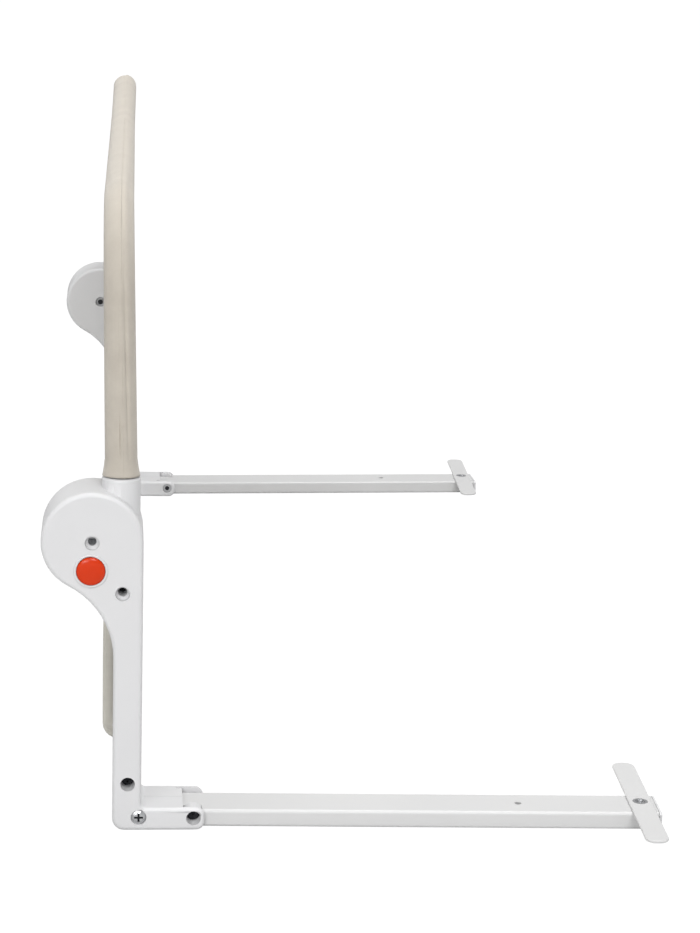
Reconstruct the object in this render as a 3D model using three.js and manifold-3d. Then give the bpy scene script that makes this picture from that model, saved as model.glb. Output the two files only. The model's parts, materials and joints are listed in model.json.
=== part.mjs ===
// Folding bed guard rail: two L-shaped hinge stands joined by two bars, a padded hoop that swings
// down over the outside, and two flat arms that go under the mattress and fold up for storage.
// Lengths are in millimetres. X runs from the guard towards the bed, Y along the guard, Z up.
// The near stand is at -Y. It is modelled first, and the far stand is its mirror image.
import * as THREE from "three";
import { mergeVertices } from "three/addons/utils/BufferGeometryUtils.js";
import Module from "manifold-3d";

const wasm = await Module();
wasm.setup();

// overall sizes
const guardLength = 950;
const guardHeight = 433.2;
const standDepth = 46;
const standOuterY = guardLength / 2;
const standInnerY = standOuterY - standDepth;
const standMiddleY = standOuterY - standDepth / 2;

// clearances and cutting
const partGap = 0.3;
const runningGap = 0.12;
const threadGap = 0.35;
const cutOverrun = 2;
const weldGap = 0.0005;

// how finely round shapes are divided: the chords stay this close to the true circle
const chordError = 0.09;
const edgePieces = 3;
const domePieces = 4;
const hoopSides = 12;
const springWireSides = 5;

// pivot and the round head of the stand
const pivotZ = 202.8;
const headRadius = 34;
const plateThick = 8;
const plateInsideY = standOuterY - plateThick;
const plateOutsideY = standInnerY + plateThick;
const drumClearance = 0.5;

// stem and foot of the stand
const stemWidth = 19.5;
const stemRightX = headRadius;
const stemLeftX = stemRightX - stemWidth;
const stemWall = 2.8;
const neckBlendDrop = 80.5;
const footLength = 63;
const footHeight = 15.8;
const footEndX = stemLeftX + footLength;
const footCornerRadius = 8;
const footEndRadius = 6;
const insideCornerRadius = 3.5;
const edgeRound = 3;

// the neck's curve touches both the round head and the stem
const neckBlendRadius =
  (stemLeftX ** 2 + neckBlendDrop ** 2 - headRadius ** 2) / (2 * (headRadius + stemLeftX));

// fork in the foot that the arm turns in
const forkInnerCheek = 5.2;
const forkOuterCheek = 4.4;
const forkInnerY = standInnerY + forkInnerCheek;
const forkOuterY = standOuterY - forkOuterCheek;
const forkBackX = 58.8;
const forkLipReach = 3.8;
const forkLipGap = 0.4;

// hollow boss on the outer cheek, which the side of the arm is cut out for
const bossRadius = 7;
const bossReach = 8.4;
const bossEndY = forkOuterY - bossReach;
const bossGap = 0.3;
const bossEndGap = 0.6;

// mattress arm: a flat tube
const armOuterInset = 5;
const armInnerInset = 7;
const armWidth = standDepth - armOuterInset - armInnerInset;
const armMiddleY = standOuterY - armOuterInset - armWidth / 2;
const armHeight = 12.2;
const armLift = 1;
const armTopZ = armLift + armHeight;
const armWall = 1.5;
const armCornerRadius = 2.2;
const armPinX = 69.7;
const armPinZ = 9;
const armPinRadius = 2.5;
const armBackReach = 7.6;
const armEndX = 390.9;
const nearArmSplayDegrees = 1.65;
const farArmSplayDegrees = 2.6;
const farPlateTurnDegrees = -4.2;
const lockHoleX = 295;
const lockHoleRadius = 2.5;

// block inside the arm that turns on the hinge pin
const hingeBlockGap = 0.2;
const hingeBlockEndX = 102;

// cap in the free end of the arm
const plugInsert = 14;
const plugFlange = 1.4;
const plugDome = 1.2;
const plugGap = 0.35;

// grip plate across the free end of the arm
const gripLength = 147.6;
const gripWidth = 15.9;
const gripThick = 2;
const gripCornerRadius = 6.8;
const gripEdgeRound = 0.5;
const gripSetback = 10.6;
const gripX = armEndX - gripSetback;
const gripShift = 1.9;
const gripScrewRadius = 5.2;
const gripScrewRim = 0.4;
const gripScrewHead = 1.7;
const gripScrewShank = 2;
const gripScrewLength = 9;
const gripScrewDish = 0.5;
const gripScrewDishRadius = 3.4;
const gripScrewGap = 0.25;

// hoop of the guard
const hoopRadius = 9;
const hoopWall = 1.2;
const hoopBend = 62;
const coverRadius = 10.5;
const hoopX = 18.9;
const hoopLegY = standMiddleY;
const hoopTopZ = guardHeight - coverRadius;
const hoopFootZ = 211.3;
const hoopLeanNear = -3.16;
const hoopLeanFar = 4.38;
const legSteps = 3;
const bendSteps = 8;
const topSteps = 6;

// lower rail of the guard and its cover
const lowerRailRadius = 7.5;
const coverBottomZ = 246.3;
const coverHemRadius = 10.1;
const lowerRailZ = coverBottomZ + coverRadius;
const coverPanelThick = 14;
const coverClearance = 0.3;

// turning hub that carries the hoop
const collarRadius = 13;
const collarTopZ = 243.7;
const collarBaseZ = 214.3;
const collarEdgeRound = 2.2;
const socketClearance = 0.25;

// bars between the two stands
const barRadius = 9.5;
const barWall = 1.3;
const barX = 18.5;
const lowerBarZ = 60;
const upperBarZ = 224.3;
const barEndWall = 6;
const spigotLength = 15;
const spigotRadius = 4.2;
const skirtEndGap = 0.8;
const skirtClearance = 0.3;
const skirtRadius = 11;
const skirtEndThick = 1.2;

// pivot axle
const sleeveRadius = 5;
const sleeveBoreRadius = 2.75;
const sleeveSeatDepth = 1.5;
const pivotScrewRadius = 2.4;
const pivotScrewHeadRadius = 4.4;
const pivotScrewHeadThick = 2.3;
const pivotScrewReach = 24;
const pivotRecessRadius = 5;
const pivotRecessDepth = 3;
const pivotFaceHoleDepth = 4.5;
const pivotFaceHoleRadius = 3;

// screws that hold the two halves of a stand together
const shellHoleRadius = 5;
const shellBoreRadius = 3.2;
const shellScrewHeadThick = 2.2;
const shellScrewRadius = 1.45;
const shellScrewTipY = standInnerY + 9;
const upperScrewX = 20.4;
const upperScrewZ = pivotZ - 34.8;
const upperScrewHoleDepth = 4.8;
const upperScrewSeatDepth = 19;
const upperScrewHeadRadius = 2.9;
const lowerScrewX = 24.8;
const lowerScrewZ = 33.6;
const lowerScrewSeatDepth = 14;
const lowerScrewHeadRadius = 4.6;

// cross-head screw at the corner of the foot
const cornerScrewX = 32.4;
const cornerScrewZ = 9.7;
const cornerScrewHeadRadius = 5;
const cornerScrewHeadThick = 2.2;
const cornerScrewRecess = 2.3;
const cornerScrewRadius = 2.2;
const cornerScrewTipY = standInnerY + 5;
const crossSlotWidth = 1.4;
const crossSlotReachShare = 0.6;
const crossSlotDepth = 1.5;

// pin and nut of the arm's hinge
const armPinHoleRadius = 5;
const armPinHoleDepth = 11.2;
const armPinHeadRadius = 4.6;
const armPinHeadThick = 1.5;
const armPinTailRadius = 2;
const armPinDimpleRadius = 1.7;
const armPinDimpleDepth = 0.8;
const armNutRadius = 3.9;
const armNutThick = 1.9;
const armNutRecess = 2.6;
const armNutRecessRadius = 4.5;

// release button with its lock pin and spring
const buttonX = -0.8;
const buttonZ = pivotZ - 18.8;
const buttonRadius = 9.6;
const buttonSideThick = 4.4;
const buttonDome = 2.2;
const buttonTravel = 3.5;
const buttonFloorThick = 1.2;
const buttonRingRadius = 11.5;
const buttonRingProud = 1.2;
const buttonRingRound = 0.8;
const lockPinRadius = 4;
const lockPinTailRadius = 2.4;
const lockPinTailLength = 2.8;
const lockPinReach = 13.5;
const grooveDepth = 18;
const grooveSideGap = 0.6;
const springRadius = 6.8;
const springWire = 0.5;
const springTurns = 2.5;
const springSteps = 30;

// hollow inside the stem
const hollowTopZ = pivotZ - 48;
const hollowBottomZ = 42;
const hollowCornerRadius = 2;

const quarterTurn = Math.PI / 2;
const halfTurn = Math.PI;
const fullTurn = Math.PI * 2;

// solids and booleans
function solidFrom(geometry) {
  const bare = geometry.clone();
  bare.deleteAttribute("normal");
  bare.deleteAttribute("uv");
  const welded = mergeVertices(bare, weldGap);
  const mesh = new wasm.Mesh({
    numProp: 3,
    vertProperties: new Float32Array(welded.attributes.position.array),
    triVerts: new Uint32Array(welded.index.array),
  });
  return new wasm.Manifold(mesh);
}

function geometryFrom(solid) {
  const mesh = solid.getMesh();
  const geometry = new THREE.BufferGeometry();
  geometry.setAttribute("position", new THREE.BufferAttribute(new Float32Array(mesh.vertProperties), 3));
  geometry.setIndex(new THREE.BufferAttribute(new Uint32Array(mesh.triVerts), 1));
  const flat = geometry.toNonIndexed();
  flat.computeVertexNormals();
  return flat;
}

function joined(first, ...others) {
  return others.reduce((whole, piece) => whole.add(piece), first);
}

function without(first, ...cutters) {
  return cutters.reduce((whole, cutter) => whole.subtract(cutter), first);
}

// arcs and circles as points
function stepsFor(radius, angle) {
  const step = Math.acos(1 - chordError / radius) * 2;
  return Math.max(2, Math.ceil(Math.abs(angle) / step));
}

function arcPoints(x, z, radius, fromAngle, toAngle) {
  const steps = stepsFor(radius, toAngle - fromAngle);
  const points = [];
  for (let step = 0; step <= steps; step += 1) {
    const angle = fromAngle + ((toAngle - fromAngle) * step) / steps;
    points.push(new THREE.Vector2(x + radius * Math.cos(angle), z + radius * Math.sin(angle)));
  }
  return points;
}

function circleShape(x, z, radius, sides = stepsFor(radius, fullTurn)) {
  const points = [];
  for (let side = 0; side < sides; side += 1) {
    const angle = (side / sides) * fullTurn;
    points.push(new THREE.Vector2(x + radius * Math.cos(angle), z + radius * Math.sin(angle)));
  }
  return new THREE.Shape(points);
}

function roundedRectangle(fromX, toX, fromY, toY, radius) {
  return new THREE.Shape([
    ...arcPoints(toX - radius, fromY + radius, radius, -quarterTurn, 0),
    ...arcPoints(toX - radius, toY - radius, radius, 0, quarterTurn),
    ...arcPoints(fromX + radius, toY - radius, radius, quarterTurn, halfTurn),
    ...arcPoints(fromX + radius, fromY + radius, radius, halfTurn, halfTurn + quarterTurn),
  ]);
}

// a shape drawn in X and Z, pulled out along Y between two distances from the guard's middle,
// on the near side
function plateY(shape, fromY, toY) {
  const geometry = new THREE.ExtrudeGeometry(shape, { depth: toY - fromY, bevelEnabled: false });
  geometry.rotateX(quarterTurn);
  geometry.translate(0, -fromY, 0);
  return solidFrom(geometry);
}

// the same with all edges of both faces rounded
function roundedPlateY(shape, fromY, toY, round) {
  const geometry = new THREE.ExtrudeGeometry(shape, {
    depth: toY - fromY - round * 2,
    bevelEnabled: true,
    bevelSize: round,
    bevelThickness: round,
    bevelOffset: -round,
    bevelSegments: edgePieces,
  });
  geometry.rotateX(quarterTurn);
  geometry.translate(0, -(fromY + round), 0);
  return solidFrom(geometry);
}

function rodY(x, z, radius, fromY, toY) {
  return plateY(circleShape(x, z, radius), fromY, toY);
}

function rodZ(x, y, radius, fromZ, toZ) {
  const shape = circleShape(x, y, radius);
  const geometry = new THREE.ExtrudeGeometry(shape, { depth: toZ - fromZ, bevelEnabled: false });
  geometry.translate(0, 0, fromZ);
  return solidFrom(geometry);
}

function block(fromX, toX, fromY, toY, fromZ, toZ) {
  const geometry = new THREE.BoxGeometry(toX - fromX, toY - fromY, toZ - fromZ);
  geometry.translate((fromX + toX) / 2, (fromY + toY) / 2, (fromZ + toZ) / 2);
  return solidFrom(geometry);
}

// a turned piece whose axis runs along Y: the profile is a list of radius and distance outwards
function turnedY(x, z, profile) {
  const points = profile.map(([radius, y]) => new THREE.Vector2(radius, -y));
  const widest = Math.max(...profile.map(([radius]) => radius));
  const geometry = new THREE.LatheGeometry(points, stepsFor(widest, fullTurn));
  geometry.translate(x, 0, z);
  return outwards(geometry);
}

// the same with its axis along Z: the profile is a list of radius and height
function turnedZ(x, y, profile) {
  const points = profile.map(([radius, z]) => new THREE.Vector2(radius, z));
  const widest = Math.max(...profile.map(([radius]) => radius));
  const geometry = new THREE.LatheGeometry(points, stepsFor(widest, fullTurn));
  geometry.rotateX(quarterTurn);
  geometry.translate(x, y, 0);
  return outwards(geometry);
}

// lathe walls face inwards when their profile runs downwards, so such a piece is turned over
function outwards(geometry) {
  const made = solidFrom(geometry);
  if (made.volume() > 0) {
    return made;
  }
  return solidFrom(flipped(geometry));
}

function flipped(geometry) {
  const indexed = geometry.index ? geometry.clone() : mergeVertices(geometry, weldGap);
  const order = indexed.index.array;
  for (let corner = 0; corner < order.length; corner += 3) {
    const kept = order[corner];
    order[corner] = order[corner + 1];
    order[corner + 1] = kept;
  }
  return indexed;
}

function mirrored(geometry) {
  const other = geometry.clone();
  other.scale(1, -1, 1);
  const turned = flipped(mergeVertices(other, weldGap)).toNonIndexed();
  turned.computeVertexNormals();
  return turned;
}

// materials
const group = new THREE.Group();

const finishes = {
  whitePlastic: { color: 0xeeeeee, roughness: 0.42, metalness: 0 },
  whitePaint: { color: 0xf2f2f2, roughness: 0.35, metalness: 0.1 },
  orangePlastic: { color: 0xe64614, roughness: 0.35, metalness: 0 },
  steel: { color: 0xb9bcc0, roughness: 0.35, metalness: 1 },
  darkSteel: { color: 0x4a4c50, roughness: 0.5, metalness: 1 },
  beigeCloth: { color: 0xc8c0b4, roughness: 0.95, metalness: 0 },
};

function addMesh(name, geometry, finish) {
  const mesh = new THREE.Mesh(geometry, new THREE.MeshStandardMaterial(finishes[finish]));
  mesh.name = name;
  group.add(mesh);
}

function addPair(name, solid, finish) {
  const geometry = geometryFrom(solid);
  addMesh(`near_${name}`, geometry, finish);
  addMesh(`far_${name}`, mirrored(geometry), finish);
}

// the two arms don't stand out by the same angle, so each is made on its own
function addArmPair(name, makeSolid, finish) {
  const farSolid = makeSolid(farArmSplayDegrees, farPlateTurnDegrees);
  addMesh(`near_${name}`, geometryFrom(makeSolid(nearArmSplayDegrees, 0)), finish);
  addMesh(`far_${name}`, mirrored(geometryFrom(farSolid)), finish);
}

function addSingle(name, solid, finish) {
  addMesh(name, geometryFrom(solid), finish);
}

// side outline of the stand: round head, neck, stem and foot
function standOutline() {
  const blendX = stemLeftX - neckBlendRadius;
  const blendZ = pivotZ - neckBlendDrop;
  const blendTop = Math.atan2(pivotZ - blendZ, -blendX);
  const endX = footEndX - footEndRadius;
  const insideX = stemRightX + insideCornerRadius;
  const insideZ = footHeight + insideCornerRadius;
  const cornerX = stemLeftX + footCornerRadius;
  return new THREE.Shape([
    ...arcPoints(endX, footEndRadius, footEndRadius, -quarterTurn, 0),
    ...arcPoints(endX, footHeight - footEndRadius, footEndRadius, 0, quarterTurn),
    ...arcPoints(insideX, insideZ, insideCornerRadius, -quarterTurn, -halfTurn),
    ...arcPoints(0, pivotZ, headRadius, 0, blendTop + halfTurn),
    ...arcPoints(blendX, blendZ, neckBlendRadius, blendTop, 0).slice(1),
    ...arcPoints(cornerX, footCornerRadius, footCornerRadius, halfTurn, halfTurn + quarterTurn),
  ]);
}

// room between the plates for the drum, and for the collar when the guard hangs down
function hubRoom() {
  const roomRadius = headRadius + drumClearance;
  const drumRoom = rodY(0, pivotZ, roomRadius, plateOutsideY, plateInsideY);
  const collarReach = collarTopZ - pivotZ + cutOverrun;
  const collarEdgeX = collarRadius + drumClearance - hoopX;
  const hangingRoom = block(
    -headRadius * 2,
    collarEdgeX,
    -plateInsideY,
    -plateOutsideY,
    pivotZ - collarReach - cutOverrun,
    pivotZ,
  );
  const thinEdge = block(
    collarRadius * 2,
    stemRightX + cutOverrun,
    -plateInsideY,
    -plateOutsideY,
    pivotZ - collarRadius,
    pivotZ + cutOverrun,
  );
  return joined(drumRoom, hangingRoom, thinEdge);
}

// the fork is open at the end, above and below, but a lip covers the back end of the arm
function forkSlot() {
  const boss = rodY(armPinX, armPinZ, bossRadius, bossEndY, forkOuterY + cutOverrun);
  const slot = block(
    forkBackX,
    footEndX + cutOverrun,
    -forkOuterY,
    -forkInnerY,
    -cutOverrun,
    footHeight + cutOverrun,
  );
  const lip = block(
    forkBackX - cutOverrun,
    forkBackX + forkLipReach,
    -forkOuterY - cutOverrun,
    -armMiddleY + armWidth / 2,
    armTopZ + forkLipGap,
    footHeight + cutOverrun * 2,
  );
  const aboveFoot = block(
    armPinX - bossRadius * 2,
    armPinX + bossRadius * 2,
    -forkOuterY,
    -bossEndY + cutOverrun,
    footHeight,
    footHeight + bossRadius,
  );
  return without(slot, lip, without(boss, aboveFoot));
}

function stemHollow(fromY, toY) {
  const shape = roundedRectangle(
    stemLeftX + stemWall,
    stemRightX - stemWall,
    hollowBottomZ,
    hollowTopZ,
    hollowCornerRadius,
  );
  return plateY(shape, fromY, toY);
}

// outer half of the stand
function outerShell() {
  const fromY = standMiddleY + partGap / 2;
  const whole = roundedPlateY(standOutline(), standInnerY, standOuterY, edgeRound);
  const outside = block(
    -headRadius * 2,
    footEndX + cutOverrun,
    -standOuterY - cutOverrun,
    -fromY,
    -cutOverrun,
    pivotZ + headRadius * 2,
  );
  const half = whole.intersect(outside);
  const floorY = plateInsideY + buttonFloorThick;
  const ring = roundedPlateY(
    circleShape(buttonX, buttonZ, buttonRingRadius),
    plateInsideY + cutOverrun,
    standOuterY + buttonRingProud,
    buttonRingRound,
  );
  const cutters = [
    hubRoom(),
    forkSlot(),
    stemHollow(fromY - cutOverrun, standOuterY - stemWall),
    rodY(buttonX, buttonZ, buttonRadius + partGap, floorY, standOuterY + cutOverrun * 2),
    rodY(buttonX, buttonZ, lockPinRadius + partGap, plateInsideY - cutOverrun, floorY + cutOverrun),
    rodY(0, pivotZ, shellHoleRadius, standOuterY - pivotFaceHoleDepth, standOuterY + cutOverrun),
    rodY(0, pivotZ, pivotFaceHoleRadius, plateInsideY - cutOverrun, standOuterY),
    rodY(
      0,
      pivotZ,
      sleeveRadius + partGap,
      plateInsideY - cutOverrun,
      plateInsideY + sleeveSeatDepth,
    ),
    rodY(
      upperScrewX,
      upperScrewZ,
      shellHoleRadius,
      standOuterY - upperScrewHoleDepth,
      standOuterY + cutOverrun,
    ),
    shellScrewHole(upperScrewX, upperScrewZ, shellBoreRadius, upperScrewSeatDepth, fromY),
    shellScrewHole(lowerScrewX, lowerScrewZ, shellHoleRadius, lowerScrewSeatDepth, fromY),
    rodY(
      cornerScrewX,
      cornerScrewZ,
      cornerScrewHeadRadius + threadGap,
      standOuterY - cornerScrewRecess,
      standOuterY + cutOverrun,
    ),
    rodY(
      cornerScrewX,
      cornerScrewZ,
      cornerScrewRadius + threadGap,
      fromY - cutOverrun,
      standOuterY,
    ),
    rodY(
      armPinX,
      armPinZ,
      armPinHoleRadius,
      standOuterY - armPinHoleDepth,
      standOuterY + cutOverrun,
    ),
    rodY(armPinX, armPinZ, armPinRadius + runningGap, fromY, standOuterY),
  ];
  return without(joined(half, ring), ...cutters);
}

function shellScrewHole(x, z, radius, seatDepth, fromY) {
  const seatY = standOuterY - seatDepth;
  return joined(
    rodY(x, z, radius, seatY, standOuterY + cutOverrun),
    rodY(x, z, shellScrewRadius + threadGap, fromY - cutOverrun, seatY + cutOverrun),
  );
}

// inner half of the stand, with the two spigots that carry the bars
function innerShell() {
  const toY = standMiddleY - partGap / 2;
  const whole = roundedPlateY(standOutline(), standInnerY, standOuterY, edgeRound);
  const inside = block(
    -headRadius * 2,
    footEndX + cutOverrun,
    -toY,
    -standInnerY + cutOverrun,
    -cutOverrun,
    pivotZ + headRadius * 2,
  );
  const spigots = [lowerBarZ, upperBarZ].map((z) => rodY(
    barX,
    z,
    spigotRadius,
    standInnerY - spigotLength,
    standInnerY + stemWall / 2,
  ));
  const screwTipY = shellScrewTipY - cutOverrun;
  const cutters = [
    hubRoom(),
    forkSlot(),
    stemHollow(standInnerY + stemWall, toY + cutOverrun),
    rodY(0, pivotZ, pivotRecessRadius, standInnerY - cutOverrun, standInnerY + pivotRecessDepth),
    rodY(0, pivotZ, pivotScrewRadius + threadGap, standInnerY, plateOutsideY + cutOverrun),
    rodY(
      0,
      pivotZ,
      sleeveRadius + partGap,
      plateOutsideY - sleeveSeatDepth,
      plateOutsideY + cutOverrun,
    ),
    rodY(upperScrewX, upperScrewZ, shellScrewRadius + threadGap, screwTipY, toY + cutOverrun),
    rodY(lowerScrewX, lowerScrewZ, shellScrewRadius + threadGap, screwTipY, toY + cutOverrun),
    rodY(
      cornerScrewX,
      cornerScrewZ,
      cornerScrewRadius + threadGap,
      cornerScrewTipY - cutOverrun,
      toY + cutOverrun,
    ),
    rodY(
      armPinX,
      armPinZ,
      armNutRecessRadius,
      standInnerY - cutOverrun,
      standInnerY + armNutRecess,
    ),
    rodY(armPinX, armPinZ, armPinRadius + runningGap, standInnerY, toY),
  ];
  return without(joined(whole.intersect(inside), ...spigots), ...cutters);
}

addPair("outer_shell", outerShell(), "whitePlastic");
addPair("inner_shell", innerShell(), "whitePlastic");

// pivot axle: a threaded sleeve held by a screw from the inner side
const sleeveEndGap = partGap;
const sleeveFromY = plateOutsideY - sleeveSeatDepth + sleeveEndGap;
const sleeveToY = plateInsideY + sleeveSeatDepth - sleeveEndGap;
addPair(
  "pivot_sleeve",
  without(
    rodY(0, pivotZ, sleeveRadius, sleeveFromY, sleeveToY),
    rodY(0, pivotZ, sleeveBoreRadius, sleeveFromY - cutOverrun, sleeveToY + cutOverrun),
  ),
  "steel",
);

function crossSlots(x, z, headRadius, faceY) {
  const reach = headRadius * crossSlotReachShare;
  const half = crossSlotWidth / 2;
  const outY = faceY + cutOverrun;
  const inY = faceY - crossSlotDepth;
  return joined(
    block(x - reach, x + reach, -outY, -inY, z - half, z + half),
    block(x - half, x + half, -outY, -inY, z - reach, z + reach),
  );
}

function pivotScrew() {
  const headFromY = standInnerY + pivotRecessDepth - partGap / 2;
  const headToY = headFromY - pivotScrewHeadThick;
  const profile = [
    [0, headToY],
    [pivotScrewHeadRadius * crossSlotReachShare, headToY],
    [pivotScrewHeadRadius, headToY + pivotScrewHeadThick / 2],
    [pivotScrewHeadRadius, headFromY],
    [pivotScrewRadius, headFromY],
    [pivotScrewRadius, headFromY + pivotScrewReach],
    [0, headFromY + pivotScrewReach],
  ];
  const socket = rodY(
    0,
    pivotZ,
    armPinDimpleRadius,
    headToY - cutOverrun,
    headToY + armPinDimpleDepth,
  );
  return without(turnedY(0, pivotZ, profile), socket);
}

addPair("pivot_screw", pivotScrew(), "steel");

// screws down the two deep holes
function shellScrew(x, z, headRadius, seatDepth) {
  const seatY = standOuterY - seatDepth + partGap / 2;
  const topY = seatY + shellScrewHeadThick;
  const profile = [
    [0, topY],
    [headRadius, topY],
    [headRadius, seatY],
    [shellScrewRadius, seatY],
    [shellScrewRadius, shellScrewTipY],
    [0, shellScrewTipY],
  ];
  return without(turnedY(x, z, profile), crossSlots(x, z, headRadius, topY));
}

addPair(
  "upper_shell_screw",
  shellScrew(upperScrewX, upperScrewZ, upperScrewHeadRadius, upperScrewSeatDepth),
  "darkSteel",
);
addPair(
  "lower_shell_screw",
  shellScrew(lowerScrewX, lowerScrewZ, lowerScrewHeadRadius, lowerScrewSeatDepth),
  "darkSteel",
);

// cross-head screw in the face of the foot
function cornerScrew() {
  const seatY = standOuterY - cornerScrewRecess + partGap / 2;
  const topY = seatY + cornerScrewHeadThick;
  const profile = [
    [0, topY],
    [cornerScrewHeadRadius * crossSlotReachShare, topY],
    [cornerScrewHeadRadius, seatY + cornerScrewHeadThick / 2],
    [cornerScrewHeadRadius, seatY],
    [cornerScrewRadius, seatY],
    [cornerScrewRadius, cornerScrewTipY],
    [0, cornerScrewTipY],
  ];
  return without(
    turnedY(cornerScrewX, cornerScrewZ, profile),
    crossSlots(cornerScrewX, cornerScrewZ, cornerScrewHeadRadius, topY),
  );
}

addPair("corner_screw", cornerScrew(), "steel");

// hinge pin of the arm, with a nut on its tail
function armPin() {
  const seatY = standOuterY - armPinHoleDepth + partGap / 2;
  const topY = seatY + armPinHeadThick;
  const stepY = standInnerY + armNutRecess + partGap;
  const tailY = stepY - armNutThick - partGap;
  const profile = [
    [0, topY],
    [armPinHeadRadius, topY],
    [armPinHeadRadius, seatY],
    [armPinRadius, seatY],
    [armPinRadius, stepY],
    [armPinTailRadius, stepY],
    [armPinTailRadius, tailY],
    [0, tailY],
  ];
  const dimple = rodY(
    armPinX,
    armPinZ,
    armPinDimpleRadius,
    topY - armPinDimpleDepth,
    topY + cutOverrun,
  );
  return without(turnedY(armPinX, armPinZ, profile), dimple);
}

function armPinNut() {
  const topY = standInnerY + armNutRecess - partGap / 2;
  const nut = rodY(armPinX, armPinZ, armNutRadius, topY - armNutThick, topY);
  const bore = rodY(
    armPinX,
    armPinZ,
    armPinTailRadius + partGap,
    topY - armNutThick - cutOverrun,
    topY + cutOverrun,
  );
  return without(nut, bore);
}

addPair("arm_pin", armPin(), "darkSteel");
addPair("arm_pin_nut", armPinNut(), "steel");

// turning hub: drum, collar with the socket for the hoop, and the groove that the lock pin runs in
function hub() {
  const fromY = plateOutsideY + partGap;
  const toY = plateInsideY - partGap;
  const drum = rodY(0, pivotZ, headRadius, fromY, toY);
  const rimRadius = collarRadius - collarEdgeRound;
  const rim = arcPoints(rimRadius, collarTopZ - collarEdgeRound, collarEdgeRound, 0, quarterTurn);
  const collar = turnedZ(hoopX, -standMiddleY, [
    [0, collarBaseZ],
    [collarRadius, collarBaseZ],
    ...rim.map((point) => [point.x, point.y]),
    [0, collarTopZ],
  ]);
  const socket = rodZ(
    hoopX,
    -standMiddleY,
    hoopRadius + socketClearance,
    hoopFootZ - partGap,
    collarTopZ + cutOverrun,
  );
  const bore = rodY(
    0,
    pivotZ,
    sleeveRadius + runningGap,
    fromY - cutOverrun,
    toY + cutOverrun,
  );
  return without(joined(drum, collar), socket, bore, lockGroove(toY));
}

function lockGroove(faceY) {
  const halfWidth = lockPinRadius + grooveSideGap;
  const pathRadius = Math.hypot(buttonX, buttonZ - pivotZ);
  const startAngle = Math.atan2(buttonZ - pivotZ, buttonX);
  const endAngle = startAngle - halfTurn;
  const endX = pathRadius * Math.cos(endAngle);
  const endZ = pivotZ + pathRadius * Math.sin(endAngle);
  const shape = new THREE.Shape([
    ...arcPoints(0, pivotZ, pathRadius + halfWidth, startAngle, endAngle),
    ...arcPoints(endX, endZ, halfWidth, endAngle, endAngle - halfTurn).slice(1),
    ...arcPoints(0, pivotZ, pathRadius - halfWidth, endAngle, startAngle).slice(1),
    ...arcPoints(buttonX, buttonZ, halfWidth, startAngle + halfTurn, startAngle).slice(1, -1),
  ]);
  return plateY(shape, faceY - grooveDepth, faceY + cutOverrun);
}

addPair("hub", hub(), "whitePlastic");

// release button, lock pin and spring
const buttonBottomY = plateInsideY + buttonFloorThick + buttonTravel + partGap;

function releaseButton() {
  const sideTopY = buttonBottomY + buttonSideThick;
  const profile = [[0, buttonBottomY], [buttonRadius, buttonBottomY]];
  for (let step = 0; step <= domePieces; step += 1) {
    const angle = (step / domePieces) * quarterTurn;
    profile.push([buttonRadius * Math.cos(angle), sideTopY + buttonDome * Math.sin(angle)]);
  }
  profile[profile.length - 1][0] = 0;
  const seat = rodY(
    buttonX,
    buttonZ,
    lockPinTailRadius + partGap / 2,
    buttonBottomY - cutOverrun,
    buttonBottomY + lockPinTailLength,
  );
  return without(turnedY(buttonX, buttonZ, profile), seat);
}

function lockPin() {
  const shoulderY = buttonBottomY - partGap;
  const tipY = plateInsideY - lockPinReach;
  const profile = [
    [0, shoulderY + lockPinTailLength],
    [lockPinTailRadius, shoulderY + lockPinTailLength],
    [lockPinTailRadius, shoulderY],
    [lockPinRadius, shoulderY],
    [lockPinRadius, tipY],
    [0, tipY],
  ];
  return turnedY(buttonX, buttonZ, profile);
}

class CoilPath extends THREE.Curve {
  constructor(fromY, toY) {
    super();
    this.fromY = fromY;
    this.toY = toY;
  }

  getPoint(share) {
    const angle = share * springTurns * fullTurn;
    const y = this.fromY + (this.toY - this.fromY) * share;
    const x = buttonX + springRadius * Math.cos(angle);
    const z = buttonZ + springRadius * Math.sin(angle);
    return new THREE.Vector3(x, -y, z);
  }
}

function buttonSpring() {
  const endGap = springWire + partGap / 2;
  const path = new CoilPath(plateInsideY + buttonFloorThick + endGap, buttonBottomY - endGap);
  const wire = circleShape(0, 0, springWire, springWireSides);
  const geometry = new THREE.ExtrudeGeometry(wire, {
    steps: springSteps,
    extrudePath: path,
  });
  return outwards(geometry);
}

addPair("release_button", releaseButton(), "orangePlastic");
addPair("lock_pin", lockPin(), "steel");
addPair("button_spring", buttonSpring(), "steel");

// mattress arm: flat tube, end cap, grip plate and its screw, all turned outwards a little
function profileAlongX(shape, fromX, toX) {
  const geometry = new THREE.ExtrudeGeometry(shape, { depth: toX - fromX, bevelEnabled: false });
  geometry.applyMatrix4(new THREE.Matrix4().makeBasis(
    new THREE.Vector3(0, 1, 0),
    new THREE.Vector3(0, 0, 1),
    new THREE.Vector3(1, 0, 0),
  ));
  geometry.translate(fromX, 0, 0);
  return solidFrom(geometry);
}

function armSection(inset, fromZ = armLift) {
  return roundedRectangle(
    -armMiddleY - armWidth / 2 + inset,
    -armMiddleY + armWidth / 2 - inset,
    fromZ + inset,
    armTopZ - inset,
    Math.max(armCornerRadius - inset / 2, inset / 2),
  );
}

// turns a solid outwards about the upright line through a point on the middle of the arm
function swungAt(x, solid, degrees) {
  const geometry = geometryFrom(solid);
  geometry.translate(-x, armMiddleY, 0);
  geometry.rotateZ(THREE.MathUtils.degToRad(-degrees));
  geometry.translate(x, -armMiddleY, 0);
  return solidFrom(geometry);
}

function splayed(solid, degrees) {
  return swungAt(armPinX, solid, degrees);
}

const armBackX = armPinX - armBackReach;

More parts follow.
